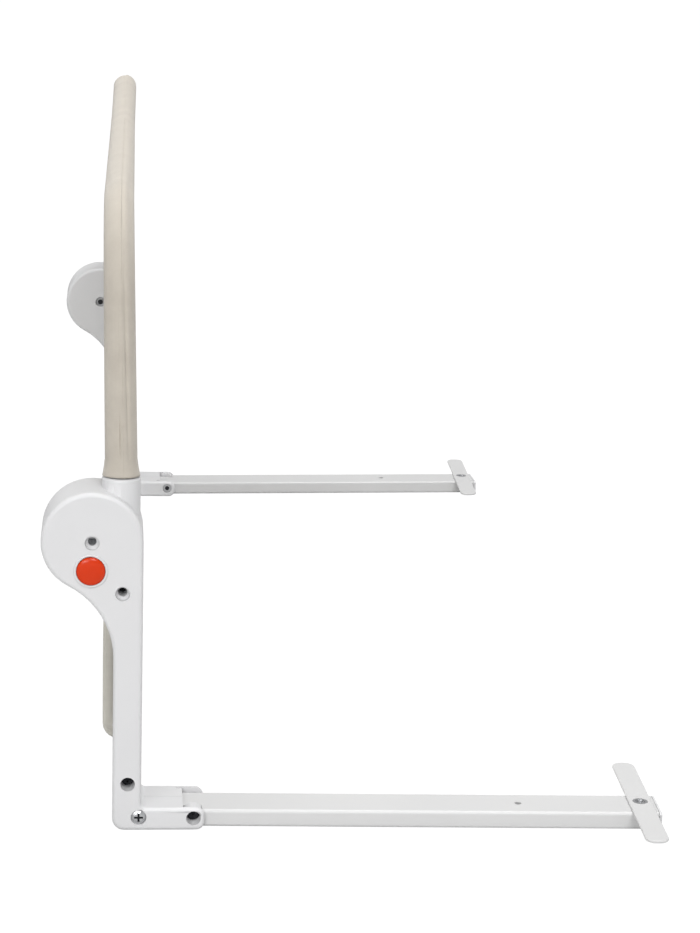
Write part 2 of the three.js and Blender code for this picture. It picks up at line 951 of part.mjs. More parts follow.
// cuts the lower back corner round, so that it clears the ground when the arm is turned up
function backCorner() {
  const roundRadius = armPinZ - armLift;
  return without(
    block(
      armBackX - cutOverrun,
      armPinX,
      -armMiddleY - armWidth,
      -armMiddleY + armWidth,
      -cutOverrun,
      armPinZ,
    ),
    rodY(armPinX, armPinZ, roundRadius, armMiddleY - armWidth, armMiddleY + armWidth),
  );
}

function armPinBore() {
  return rodY(
    armPinX,
    armPinZ,
    armPinRadius + runningGap,
    armMiddleY - armWidth,
    armMiddleY + armWidth,
  );
}

// room in the side of the arm for the boss, open towards the back end
function bossRoom() {
  const fromY = bossEndY - bossEndGap;
  const toY = standOuterY + cutOverrun;
  return joined(
    rodY(armPinX, armPinZ, bossRadius + bossGap, fromY, toY),
    block(armBackX - cutOverrun, armPinX, -toY, -fromY, -cutOverrun, armTopZ + cutOverrun),
  );
}

function armTube(splayDegrees) {
  const tube = without(
    profileAlongX(armSection(0), armBackX, armEndX),
    profileAlongX(armSection(armWall), armBackX - cutOverrun, armEndX + cutOverrun),
  );
  const lockHole = rodZ(
    lockHoleX,
    -armMiddleY,
    lockHoleRadius,
    armTopZ - armWall * 2,
    armTopZ + cutOverrun,
  );
  const screwHole = rodZ(
    gripX,
    -armMiddleY,
    gripScrewShank + partGap,
    armTopZ - armWall * 2,
    armTopZ + cutOverrun,
  );
  const arm = splayed(without(tube, backCorner(), lockHole, screwHole), splayDegrees);
  return without(arm, bossRoom(), armPinBore());
}

function armHingeBlock(splayDegrees) {
  const whole = profileAlongX(armSection(armWall + hingeBlockGap), armBackX, hingeBlockEndX);
  const cornered = splayed(without(whole, backCorner()), splayDegrees);
  return without(cornered, bossRoom(), armPinBore());
}

// the cap's flange reaches down to the ground, a little below the tube
function armEndPlug(splayDegrees) {
  const body = profileAlongX(armSection(armWall + plugGap), armEndX - plugInsert, armEndX + plugFlange);
  const flangeFromX = armEndX + plugGap;
  const flange = profileAlongX(armSection(0, 0), flangeFromX, flangeFromX + plugFlange);
  const domeFromX = flangeFromX + plugFlange - plugDome / 2;
  const dome = profileAlongX(armSection(plugDome, 0), domeFromX, domeFromX + plugDome);
  const screwRoom = rodZ(
    gripX,
    -armMiddleY,
    gripScrewShank + plugGap * 2,
    -cutOverrun,
    armTopZ + cutOverrun,
  );
  return splayed(without(joined(body, flange, dome), screwRoom), splayDegrees);
}

const plateBottomZ = armTopZ + partGap / 2;
const plateTopZ = plateBottomZ + gripThick;

// flat plate with rounded corners; its hole is sunk for the screw's head, on which it can swing a little
function gripPlate(splayDegrees, swingDegrees) {
  const shape = roundedRectangle(
    gripX - gripWidth / 2,
    gripX + gripWidth / 2,
    -armMiddleY + gripShift - gripLength / 2,
    -armMiddleY + gripShift + gripLength / 2,
    gripCornerRadius,
  );
  const geometry = new THREE.ExtrudeGeometry(shape, {
    depth: gripThick - gripEdgeRound * 2,
    bevelEnabled: true,
    bevelSize: gripEdgeRound,
    bevelThickness: gripEdgeRound,
    bevelOffset: -gripEdgeRound,
    bevelSegments: 1,
  });
  geometry.translate(0, 0, plateBottomZ + gripEdgeRound);
  const hole = screwHead(gripScrewGap, cutOverrun, cutOverrun);
  const plate = swungAt(gripX, without(solidFrom(geometry), hole), swingDegrees);
  return splayed(plate, splayDegrees);
}

// countersunk head with its shank; the same shape, a little wider, cuts its seat in the plate
function screwHead(gap, shankLength, overrun) {
  const seatZ = plateTopZ - gripScrewHead - gap / 2;
  return turnedZ(gripX, -armMiddleY, [
    [0, seatZ - shankLength],
    [gripScrewShank + gap, seatZ - shankLength],
    [gripScrewShank + gap, seatZ],
    [gripScrewRadius + gap, plateTopZ - gripScrewRim],
    [gripScrewRadius + gap, plateTopZ + overrun],
    [0, plateTopZ + overrun],
  ]);
}

function plateScrew(splayDegrees) {
  const dish = rodZ(
    gripX,
    -armMiddleY,
    gripScrewDishRadius,
    plateTopZ - gripScrewDish,
    plateTopZ + cutOverrun,
  );
  const reach = gripScrewRadius * crossSlotReachShare;
  const half = crossSlotWidth / 2;
  const slotFromZ = plateTopZ - crossSlotDepth;
  const slotToZ = plateTopZ + cutOverrun;
  const slots = joined(
    block(gripX - reach, gripX + reach, -armMiddleY - half, -armMiddleY + half, slotFromZ, slotToZ),
    block(gripX - half, gripX + half, -armMiddleY - reach, -armMiddleY + reach, slotFromZ, slotToZ),
  );
  return splayed(without(screwHead(0, gripScrewLength, 0), dish, slots), splayDegrees);
}

addArmPair("arm_tube", armTube, "whitePaint");
addArmPair("arm_hinge_block", armHingeBlock, "whitePlastic");
addArmPair("arm_end_plug", armEndPlug, "whitePlastic");
addArmPair("grip_plate", gripPlate, "whitePaint");
addArmPair("plate_screw", plateScrew, "steel");

// hoop of the guard: its legs stand in the hubs and its top leans a little across its length
function leanAt(y, z) {
  const share = THREE.MathUtils.clamp((z - collarTopZ) / (hoopTopZ - collarTopZ), 0, 1);
  const slope = (hoopLeanFar - hoopLeanNear) / (hoopLegY * 2);
  return ((hoopLeanFar + hoopLeanNear) / 2 + slope * y) * share;
}

function hoopStations(footZ) {
  const bendZ = hoopTopZ - hoopBend;
  const bendY = hoopLegY - hoopBend;
  const leanFromZ = Math.max(footZ, collarTopZ);
  const stations = footZ < leanFromZ ? [[-hoopLegY, footZ]] : [];
  for (let step = 0; step < legSteps; step += 1) {
    stations.push([-hoopLegY, leanFromZ + ((bendZ - leanFromZ) * step) / legSteps]);
  }
  for (let step = 0; step < bendSteps; step += 1) {
    const angle = halfTurn - (quarterTurn * step) / bendSteps;
    stations.push([-bendY + hoopBend * Math.cos(angle), bendZ + hoopBend * Math.sin(angle)]);
  }
  for (let step = 0; step <= topSteps / 2; step += 1) {
    stations.push([-bendY + (bendY * step * 2) / topSteps, hoopTopZ]);
  }
  const farHalf = stations.slice(0, -1).reverse();
  return stations.concat(farHalf.map(([y, z]) => [-y, z]));
}

class HoopPath extends THREE.Curve {
  constructor(stations) {
    super();
    this.stations = stations.map(([y, z]) => new THREE.Vector3(hoopX + leanAt(y, z), y, z));
  }

  getPoint(share) {
    const place = Math.min(Math.max(share, 0), 1) * (this.stations.length - 1);
    const before = Math.min(Math.floor(place), this.stations.length - 2);
    return this.stations[before].clone().lerp(this.stations[before + 1], place - before);
  }

  getUtoTmapping(share) {
    return share;
  }
}

function alongHoop(radius, footZ, overrun) {
  const stations = hoopStations(footZ);
  stations[0][1] -= overrun;
  stations[stations.length - 1][1] -= overrun;
  const geometry = new THREE.ExtrudeGeometry(circleShape(0, 0, radius, hoopSides), {
    steps: stations.length - 1,
    extrudePath: new HoopPath(stations),
  });
  return outwards(geometry);
}

addSingle(
  "guard_hoop",
  without(alongHoop(hoopRadius, hoopFootZ, 0), alongHoop(hoopRadius - hoopWall, hoopFootZ, cutOverrun)),
  "whitePaint",
);

// lower rail between the legs of the hoop
const lowerRailHalf = hoopLegY - hoopRadius - partGap;
addSingle(
  "guard_lower_rail",
  without(
    rodY(hoopX, lowerRailZ, lowerRailRadius, -lowerRailHalf, lowerRailHalf),
    rodY(
      hoopX,
      lowerRailZ,
      lowerRailRadius - hoopWall,
      -lowerRailHalf - cutOverrun,
      lowerRailHalf + cutOverrun,
    ),
  ),
  "whitePaint",
);

// cloth cover of the guard: a sleeve round the hoop and the lower rail, drawn in between them
function coverPanel() {
  const shape = new THREE.Shape();
  hoopStations(lowerRailZ).forEach(([y, z], index) => {
    if (index === 0) {
      shape.moveTo(y, z);
    } else {
      shape.lineTo(y, z);
    }
  });
  const geometry = new THREE.ExtrudeGeometry(shape, { depth: coverPanelThick, bevelEnabled: false });
  geometry.applyMatrix4(new THREE.Matrix4().makeBasis(
    new THREE.Vector3(0, 1, 0),
    new THREE.Vector3(0, 0, 1),
    new THREE.Vector3(1, 0, 0),
  ));
  geometry.translate(hoopX - coverPanelThick / 2, 0, 0);
  const corners = geometry.attributes.position;
  for (let corner = 0; corner < corners.count; corner += 1) {
    const lean = leanAt(corners.getY(corner), corners.getZ(corner));
    corners.setX(corner, corners.getX(corner) + lean);
  }
  return solidFrom(geometry);
}

function guardCover() {
  const hem = rodY(hoopX, lowerRailZ, coverHemRadius, -hoopLegY, hoopLegY);
  const railRoom = rodY(
    hoopX,
    lowerRailZ,
    lowerRailRadius + coverClearance,
    -hoopLegY,
    hoopLegY,
  );
  const whole = joined(alongHoop(coverRadius, coverBottomZ, 0), hem, coverPanel());
  return without(whole, alongHoop(hoopRadius + coverClearance, coverBottomZ, cutOverrun), railRoom);
}

addSingle("guard_cover", guardCover(), "beigeCloth");

// bars between the stands: tubes with thick ends, each pushed over a spigot at both ends
const barEndY = standInnerY - skirtEndGap - skirtEndThick - partGap;

function crossBar(z) {
  return without(
    rodY(barX, z, barRadius, -barEndY, barEndY),
    rodY(barX, z, barRadius - barWall, -barEndY + barEndWall, barEndY - barEndWall),
    rodY(barX, z, spigotRadius + partGap, -barEndY - cutOverrun, barEndY + cutOverrun),
  );
}

addSingle("lower_bar", crossBar(lowerBarZ), "whitePaint");
addSingle("upper_bar", crossBar(upperBarZ), "whitePaint");

// lower cloth: one loop round both bars, closed at its ends, where the spigots pass through
function loopShape(radius) {
  return new THREE.Shape([
    ...arcPoints(barX, upperBarZ, radius, 0, halfTurn),
    ...arcPoints(barX, lowerBarZ, radius, halfTurn, fullTurn),
  ]);
}

function lowerCover() {
  const endY = standInnerY - skirtEndGap;
  const spigotRooms = [lowerBarZ, upperBarZ].map((z) => (
    rodY(barX, z, spigotRadius + skirtClearance, -endY - cutOverrun, endY + cutOverrun)
  ));
  return without(
    plateY(loopShape(skirtRadius), -endY, endY),
    plateY(loopShape(barRadius + skirtClearance), -endY + skirtEndThick, endY - skirtEndThick),
    ...spigotRooms,
  );
}

addSingle("lower_cover", lowerCover(), "beigeCloth");

// the finished part stands on Z = 0 with the middle of its footprint at the origin
const bounds = new THREE.Box3().setFromObject(group);
const middle = bounds.getCenter(new THREE.Vector3());
group.children.forEach((mesh) => {
  mesh.geometry.translate(-middle.x, -middle.y, -bounds.min.z);
});

export default group;
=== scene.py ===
import json
import math

import bmesh
import bpy
from mathutils import Matrix, Vector, noise

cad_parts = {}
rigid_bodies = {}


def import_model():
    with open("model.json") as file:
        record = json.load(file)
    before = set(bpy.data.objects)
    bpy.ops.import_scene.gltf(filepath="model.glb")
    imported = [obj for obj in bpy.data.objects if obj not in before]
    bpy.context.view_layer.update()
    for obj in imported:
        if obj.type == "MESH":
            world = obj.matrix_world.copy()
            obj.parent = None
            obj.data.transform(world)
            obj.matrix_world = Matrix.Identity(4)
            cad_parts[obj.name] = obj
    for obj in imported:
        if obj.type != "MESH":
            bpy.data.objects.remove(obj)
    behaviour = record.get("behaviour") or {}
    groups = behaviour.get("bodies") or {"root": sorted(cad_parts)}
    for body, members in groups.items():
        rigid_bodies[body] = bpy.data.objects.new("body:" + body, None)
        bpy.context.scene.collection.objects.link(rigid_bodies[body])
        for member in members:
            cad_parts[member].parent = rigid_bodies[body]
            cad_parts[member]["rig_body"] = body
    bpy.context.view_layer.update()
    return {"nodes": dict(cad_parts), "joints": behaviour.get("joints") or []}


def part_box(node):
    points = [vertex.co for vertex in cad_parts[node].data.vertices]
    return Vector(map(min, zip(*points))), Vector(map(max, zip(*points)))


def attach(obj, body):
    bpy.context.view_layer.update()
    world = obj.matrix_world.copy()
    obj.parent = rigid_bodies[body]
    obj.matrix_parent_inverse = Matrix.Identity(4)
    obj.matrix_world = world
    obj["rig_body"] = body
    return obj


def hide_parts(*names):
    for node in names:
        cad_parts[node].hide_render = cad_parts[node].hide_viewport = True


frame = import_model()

mm = 0.001
ends = {"near": -1, "far": 1}

joints = {joint["name"]: joint for joint in frame["joints"]}
pivot = Vector(joints["guard_fold"]["pos_m"])


# small helpers

def linearColour(hexText):
    # sRGB hex to the linear values that shaders take
    values = []
    for start in (0, 2, 4):
        share = int(hexText[start:start + 2], 16) / 255
        values.append(share / 12.92 if share <= 0.04045 else ((share + 0.055) / 1.055) ** 2.4)
    return (*values, 1)


def addNode(tree, kind, settings=None, links=None):
    # one node, with its settings by socket or property name and its links by input name
    node = tree.nodes.new(kind)
    for key, value in (settings or {}).items():
        if isinstance(key, str) and hasattr(node, key):
            setattr(node, key, value)
        else:
            node.inputs[key].default_value = value
    for key, source in (links or {}).items():
        tree.links.new(source, node.inputs[key])
    return node


def newMaterial(name, settings):
    # a Principled surface with the values that are the same all over
    material = bpy.data.materials.new(name)
    material.use_nodes = True
    tree = material.node_tree
    shader = tree.nodes["Principled BSDF"]
    for key, value in settings.items():
        shader.inputs[key].default_value = value
    return material, tree, shader


def smoothByAngle(mesh, degrees):
    for polygon in mesh.polygons:
        polygon.use_smooth = True
    mesh.set_sharp_from_angle(angle=math.radians(degrees))


def newObject(name, data):
    piece = bpy.data.objects.new(name, data)
    bpy.context.scene.collection.objects.link(piece)
    return piece


def meshFrom(bm, name):
    mesh = bpy.data.meshes.new(name)
    bm.to_mesh(mesh)
    bm.free()
    return mesh


def at(x, y, z):
    # millimetres from the guard's pivot, with z from the floor, to the frame's metres
    return Vector((pivot.x + x * mm, pivot.y + y * mm, z * mm))


def cornersOf(node):
    # a solid's lowest and highest corners, in the millimetres that at() takes
    return [(corner - Vector((pivot.x, pivot.y, 0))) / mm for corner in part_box(node)]


def middleOf(node):
    low, high = cornersOf(node)
    return (low + high) / 2


def clamp(share):
    return min(max(share, 0), 1)


def smooth(share):
    share = clamp(share)
    return share * share * (3 - 2 * share)


def blend(fromValue, toValue, share):
    return fromValue + (toValue - fromValue) * share


# materials

def cloudNode(tree, place, size, detail):
    # noise whose lumps have about the given size in millimetres
    return addNode(tree, "ShaderNodeTexNoise", {"Scale": 1 / (size * mm), "Detail": detail},
                   {"Vector": place.outputs["Object"]})


def tintSurface(tree, shader, first, second, share):
    colours = {"data_type": "RGBA", 6: linearColour(first), 7: linearColour(second)}
    tint = addNode(tree, "ShaderNodeMix", colours, {0: share})
    tree.links.new(tint.outputs[2], shader.inputs["Base Color"])


def bumpSurface(tree, shader, height, look):
    bump = addNode(tree, "ShaderNodeBump", {"Strength": look["bump"], "Distance": look["depth"] * mm},
                   {"Height": height})
    tree.links.new(bump.outputs["Normal"], shader.inputs["Normal"])


def plasticMaterial():
    # ABS, injection moulded in a finely sparked mould: satin, with a grain of about 0.4 mm
    look = {"colour": "D9D9DA", "dust": "D4D4D5", "cloud": 45, "grain": 0.4, "bump": 0.12, "depth": 0.03,
            "rough": 0.4, "ior": 1.53}
    material, tree, shader = newMaterial("whiteAbsMoulded", {"Roughness": look["rough"], "IOR": look["ior"]})
    place = addNode(tree, "ShaderNodeTexCoord")
    cloudy = cloudNode(tree, place, look["cloud"], 3)
    tintSurface(tree, shader, look["colour"], look["dust"], cloudy.outputs["Fac"])
    grain = cloudNode(tree, place, look["grain"], 2)
    bumpSurface(tree, shader, grain.outputs["Fac"], look)
    return material


def powderCoatMaterial():
    # steel under white powder coat: smooth, with orange peel about two millimetres across
    look = {"colour": "D2D2D2", "shade": "CDCDCD", "cloud": 60, "peel": 2.2, "bump": 0.15, "depth": 0.05,
            "rough": 0.36}
    material, tree, shader = newMaterial("whitePowderCoatedSteel", {"Roughness": look["rough"]})
    place = addNode(tree, "ShaderNodeTexCoord")
    cloudy = cloudNode(tree, place, look["cloud"], 2)
    tintSurface(tree, shader, look["colour"], look["shade"], cloudy.outputs["Fac"])
    peel = cloudNode(tree, place, look["peel"], 1)
    bumpSurface(tree, shader, peel.outputs["Fac"], look)
    return material


def buttonMaterial():
    # acetal, moulded and polished: strong orange-red with a soft gloss
    look = {"colour": "D43808", "worn": "C83204", "rubbed": 8, "rough": 0.2, "ior": 1.48, "shine": 0.3}
    surface = {"Roughness": look["rough"], "IOR": look["ior"], "Specular IOR Level": look["shine"]}
    material, tree, shader = newMaterial("orangeAcetalMoulded", surface)
    place = addNode(tree, "ShaderNodeTexCoord")
    rubbed = cloudNode(tree, place, look["rubbed"], 3)
    tintSurface(tree, shader, look["colour"], look["worn"], rubbed.outputs["Fac"])
    return material


def steelMaterial(name, colour, rough):
    # turned steel with thin plating: fine marks about 0.6 mm across
    look = {"marks": 0.6, "smoother": 0.07, "rougher": 0.12, "bump": 0.2, "depth": 0.02}
    material, tree, shader = newMaterial(name, {"Metallic": 1, "Base Color": linearColour(colour)})
    place = addNode(tree, "ShaderNodeTexCoord")
    marks = cloudNode(tree, place, look["marks"], 3)
    spread = addNode(tree, "ShaderNodeMapRange", {"To Min": rough - look["smoother"],
                                                  "To Max": rough + look["rougher"]},
                     {"Value": marks.outputs["Fac"]})
    tree.links.new(spread.outputs["Result"], shader.inputs["Roughness"])
    bumpSurface(tree, shader, marks.outputs["Fac"], look)
    return material


def clothMaterial(name, light, dark):
    # polyester canvas, plain woven. The real thread is 0.4 mm; it is drawn at 0.9 mm so that it shows
    look = {"thread": 0.9, "wander": 0.6, "blotch": 30, "weaveShare": 0.35, "darkBelow": 0.35, "bump": 0.45,
            "depth": 0.25}
    surface = {"Roughness": 0.88, "Sheen Weight": 0.25, "Sheen Roughness": 0.5}
    material, tree, shader = newMaterial(name, surface)
    place = addNode(tree, "ShaderNodeUVMap", {"uv_map": "cloth"})
    threads = {"Scale": 0.5 / look["thread"], "Distortion": look["wander"], "Detail": 1}
    warp, weft = (addNode(tree, "ShaderNodeTexWave", {**threads, "bands_direction": direction},
                          {"Vector": place.outputs["UV"]}) for direction in "XY")
    weave = addNode(tree, "ShaderNodeMath", {"operation": "MAXIMUM"},
                    {0: warp.outputs["Fac"], 1: weft.outputs["Fac"]})
    slub = addNode(tree, "ShaderNodeTexNoise", {"Scale": 1 / look["blotch"], "Detail": 6, "Roughness": 0.7},
                   {"Vector": place.outputs["UV"]})
    mixed = addNode(tree, "ShaderNodeMath", {"operation": "MULTIPLY_ADD", 1: look["weaveShare"]},
                    {0: weave.outputs["Value"], 2: slub.outputs["Fac"]})
    tone = addNode(tree, "ShaderNodeMapRange", {"From Min": look["darkBelow"], "From Max": 1},
                   {"Value": mixed.outputs["Value"]})
    tintSurface(tree, shader, dark, light, tone.outputs["Result"])
    bumpSurface(tree, shader, weave.outputs["Value"], look)
    return material


def paperMaterial():
    # matt white background paper that reflects light up onto the guard
    return newMaterial("whitePaper", {"Roughness": 1, "Specular IOR Level": 0,
                                      "Base Color": linearColour("C6C6C6")})[0]


def lightTableMaterial():
    # opal acrylic lit from below: white and without shadows
    return newMaterial("opalLightTable", {"Roughness": 1, "Specular IOR Level": 0,
                                          "Base Color": linearColour("404040"),
                                          "Emission Color": (1, 1, 1, 1), "Emission Strength": 1})[0]


materials = {
    "plastic": plasticMaterial(),
    "powder": powderCoatMaterial(),
    "button": buttonMaterial(),
    "steel": steelMaterial("zincPlatedSteel", "CBCCCE", 0.3),
    # dark steel: the blackened pins and shell screws, and also the painted shade in the screw slots
    "darkSteel": steelMaterial("blackenedSteelAndSlotShade", "3A3B3E", 0.5),
    "cloth": clothMaterial("beigePolyesterWoven", "C4BDB1", "B0A89D"),
    # the lower cover's cloth is greyer and lighter than the cover's; its lightness is painted light, against
    # the shade it lies in under the guard
    "lowerClothLightened": clothMaterial("greigePolyesterWovenLightened", "CFCCC3", "B8B4AA"),
}
print("materials ready")


# rigid pieces: the CAD shapes, merged and smoothed

finishes = {
    "outer_shell": "plastic", "inner_shell": "plastic", "hub": "plastic", "arm_end_plug": "plastic",
    "arm_hinge_block": "plastic",
    "arm_tube": "powder", "grip_plate": "powder",
    "release_button": "button",
    "pivot_sleeve": "steel", "pivot_screw": "steel", "corner_screw": "steel", "arm_pin": "darkSteel",
    "arm_pin_nut": "steel", "plate_screw": "steel", "lock_pin": "steel", "button_spring": "steel",
    "upper_shell_screw": "darkSteel", "lower_shell_screw": "darkSteel",
}
barsAndTubes = ("guard_hoop", "guard_lower_rail", "lower_bar", "upper_bar")
smoothed = ("outer_shell", "inner_shell", "hub", "arm_end_plug", "arm_tube", "grip_plate", "release_button",
            "corner_screw", "arm_pin", "plate_screw", "pivot_screw")
# corners closer than weld, in millimetres, are joined. Edges flatter than flat degrees go, and those softer
# than soft degrees are shaded smoothly
smoothing = {"weld": 0.002, "flat": 0.5, "soft": 32, "weight": 100}
# screws with painted shade in the cross slots of the head, which faces along the guard: how far the slots
# reach from its middle, and how deep below its face they start
slotReach = {"corner_screw": 3.05, "pivot_screw": 3}
slotDepth = 0.25


def paintSlotShade(mesh, reach, facing):
    # the second material, dark steel, goes to the walls and floors of the slots as painted shade
    low, high = (Vector([pick(vert.co[side] for vert in mesh.vertices) for side in range(3)])
                 for pick in (min, max))
    middle = (low + high) / 2
    face = high.y if facing > 0 else low.y
    mesh.materials.append(materials["darkSteel"])
    for polygon in mesh.polygons:
        depth = (face - polygon.center.y) * facing
        away = polygon.center - middle
        if depth > slotDepth * mm and math.hypot(away.x, away.z) < reach * mm:
            polygon.material_index = 1


def smoothCopy(end, word, material):
    node = f"{end}_{word}"
    bm = bmesh.new()
    bm.from_mesh(frame["nodes"][node].data)
    bmesh.ops.remove_doubles(bm, verts=bm.verts, dist=smoothing["weld"] * mm)
    bmesh.ops.dissolve_limit(bm, angle_limit=math.radians(smoothing["flat"]), verts=bm.verts, edges=bm.edges,
                             delimit={"NORMAL"})
    mesh = meshFrom(bm, node + "_finish")
    mesh.materials.clear()
    mesh.materials.append(material)
    # painted shade in the screw slots
    if word in slotReach:
        paintSlotShade(mesh, slotReach[word], ends[end])
    smoothByAngle(mesh, smoothing["soft"])
    piece = newObject(node + "_finish", mesh)
    weigh = piece.modifiers.new("evenFaces", "WEIGHTED_NORMAL")
    weigh.keep_sharp = True
    weigh.weight = smoothing["weight"]
    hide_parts(node)
    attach(piece, frame["nodes"][node]["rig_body"])


def paintNode(node, material):
    data = frame["nodes"][node].data
    data.materials.clear()
    data.materials.append(material)


for word, finish in finishes.items():
    for end in ends:
        if word in smoothed:
            smoothCopy(end, word, materials[finish])
        else:
            paintNode(f"{end}_{word}", materials[finish])
for node in barsAndTubes:
    paintNode(node, materials["powder"])
print("rigid pieces ready")


# cloth pieces: sheets made of grids, in millimetres from the pivot, joined at their edges

weldDistance = 0.02


def mappedGrid(bm, columns, rows, pointOf, uvLayer):
    # a grid of quads, each corner put in its place by pointOf, with its place on the flat cloth as uv
    made = bmesh.ops.create_grid(bm, x_segments=columns, y_segments=rows, size=1)["verts"]
    flatPlace = {}
    for vert in made:
        column = round((vert.co.x + 1) / 2 * columns)
        row = round((vert.co.y + 1) / 2 * rows)
        vert.co, flatPlace[vert] = pointOf(column, row)
    for face in {face for vert in made for face in vert.link_faces}:
        for loop in face.loops:
            loop[uvLayer].uv = flatPlace[loop.vert]


def sewnPiece(bm, name, material, look):
    # joins the grids and gives the cloth its thickness, inwards from the outer face
    bmesh.ops.remove_doubles(bm, verts=bm.verts, dist=weldDistance * mm)
    bmesh.ops.recalc_face_normals(bm, faces=bm.faces)
    mesh = meshFrom(bm, name)
    mesh.materials.append(material)
    smoothByAngle(mesh, look["soft"])
    piece = newObject(name, mesh)
    shell = piece.modifiers.new("clothThickness", "SOLIDIFY")
    shell.thickness = look["thick"] * mm
    shell.offset = -1
    return piece


# upper cover: round the hoop, flat between its legs, with an edge seam along the middle of the tube

hoopRadius = 9
hemGap = 0.2
collarZ = cornersOf("near_hub")[1].z
cover = {"legY": -middleOf("near_hub").y, "hoopX": 18.9, "topZ": cornersOf("guard_hoop")[1].z - hoopRadius,
         "bend": 62, "railZ": middleOf("guard_lower_rail").z, "railHalf": 8.5, "closed": 0.55, "sag": 2.4,
         "mouth": 34, "thick": 0.8, "soft": 38,
         "aroundTop": 10.05, "aroundFar": 1.1, "aroundFoot": 10.9,
         "footZ": collarZ + hemGap, "flare": 1.5, "flareHeight": 10, "hem": 9.5, "hemFold": 0.3,
         "hemRow": 1.4, "hemArch": 0.6, "archFade": 14,
         "leanFromZ": collarZ, "leanNear": -3.16, "leanFar": 4.38,
         "lapHeight": 0.45, "lapReach": 26, "lapLowShare": 0.5, "seamShift": 1.35,
         "ridgeFrom": 112, "ridgeTo": 250, "ridgeRise": 40, "ridgeFall": 60, "ridgeReach": 40, "roof": 0.6,
         "farFoldShare": 0.2, "ripple": 0.5, "rippleRates": (0.012, 0.02), "rippleFrom": 60, "rippleFade": 8,
         "hemSteps": 10, "legSteps": 28, "cornerSteps": 18, "topSteps": 96, "insideSteps": 9}
# angles, in degrees from the edge seam, of the lines of corners that lie round the hoop
tubeAngles = [0, 1.5, 3.5, 6, 9, 12, 15, 18, 21, 24, 27, 30, 34, 39, 45, 52, 60, 69, 79, 90]
# folds, shallow at the far end: distance along the hoop from its foot where each starts and stops, angle from
# the seam at the start and at the stop, depth, half width in degrees
coverFolds = [(10, 142, 25, 12, 1.1, 6.5), (11, 44, -9, -8, 1.0, 2.6), (60, 124, -11, -9, 0.5, 3),
              (150, 236, 9, 4, 0.5, 6), (205, 600, 4, 7, 0.8, 10), (120, 232, 58, 40, 0.45, 10),
              (26, 108, 52, 46, 0.3, 12), (30, 150, -48, -40, 0.3, 14), (190, 300, -44, -62, 0.35, 12)]


def coverLean(y, z):
    share = clamp((z - cover["leanFromZ"]) / (cover["topZ"] - cover["leanFromZ"]))
    return blend(cover["leanNear"], cover["leanFar"], (y / cover["legY"] + 1) / 2) * share


def coverRows():
    # heights of the rows of the cloth, close together in the hem
    top = cover["topZ"] - cover["bend"]
    rows = [cover["footZ"] + cover["hemRow"] * step for step in range(cover["hemSteps"] + 1)]
    return rows + [blend(rows[-1], top, (step + 1) / cover["legSteps"]) for step in range(cover["legSteps"])]


def coverStations():
    # the middle line of the hoop from foot to foot: each point, the direction that faces outwards, and the
    # distance along the hoop to the nearer foot
    inner = cover["legY"] - cover["bend"]
    bendZ = cover["topZ"] - cover["bend"]
    near = [((-cover["legY"], z), (-1, 0), z - cover["footZ"]) for z in coverRows()]
    legLength = bendZ - cover["footZ"]
    for step in range(1, cover["cornerSteps"]):
        turn = math.pi / 2 * step / cover["cornerSteps"]
        out = (-math.cos(turn), math.sin(turn))
        near.append(((-inner + cover["bend"] * out[0], bendZ + cover["bend"] * out[1]), out,
                     legLength + cover["bend"] * turn))
    cornerEnd = legLength + cover["bend"] * math.pi / 2
    top = []
    for step in range(cover["topSteps"] + 1):
        y = blend(-inner, inner, step / cover["topSteps"])
        top.append(((y, cover["topZ"]), (0, 1), cornerEnd + inner - abs(y)))
    far = [((-place[0], place[1]), (-out[0], out[1]), run) for place, out, run in reversed(near)]
    return near + top + far


def tubeAround(y, z):
    # radius of the cloth round the hoop, wider towards the foot and at the far top, and flared at the hem
    share = clamp((z - cover["footZ"]) / (cover["topZ"] - cover["footZ"]))
    farShare = max(y / cover["legY"], 0) ** 2 * share
    low = clamp((z - cover["footZ"]) / cover["flareHeight"])
    fold = cover["hemFold"] * (1 - smooth((z - cover["footZ"] - cover["hem"]) / cover["hemRow"]))
    around = blend(cover["aroundFoot"], cover["aroundTop"], share) + cover["aroundFar"] * farShare
    return around + cover["flare"] * (1 - low) ** 1.5 + fold


def panelRipple(y, z, share, inside):
    # faint unevenness of the stretched cloth, none at the top, the rail and the legs
    across, up = cover["rippleRates"]
    fade = smooth(share * cover["rippleFade"]) * smooth((1 - share) * cover["rippleFade"])
    fade *= smooth(inside / cover["rippleFrom"])
    return cover["ripple"] * noise.noise(Vector((y * across, z * up, 3))) * fade


def panelHalf(y, z):
    # half the thickness of the cover between the tubes: flat, drawn in a little, closed below the rail
    inside = cover["legY"] - abs(y)
    share = clamp((z - cover["railZ"]) / (cover["topZ"] - cover["railZ"]))
    half = blend(cover["railHalf"], cover["aroundTop"], share) - cover["sag"] * 4 * share * (1 - share)
    if z < cover["railZ"]:
        drop = min((cover["railZ"] - z) / (cover["railZ"] - cover["footZ"]), 1)
        half = cover["closed"] + (cover["railHalf"] - cover["closed"]) * math.sqrt(1 - drop * drop)
    half = blend(tubeAround(y, z), half, smooth(inside / cover["mouth"]))
    return half + panelRipple(y, z, share, inside)


def foldDepth(angle, run):
    depth = 0
    for start, stop, angleStart, angleStop, deep, wide in coverFolds:
        reach = (run - start) / (stop - start)
        if 0 < reach < 1:
            across = (angle - blend(angleStart, angleStop, reach)) / wide
            depth += deep * math.exp(-across * across) * math.sin(math.pi * reach) ** 0.5
    return depth


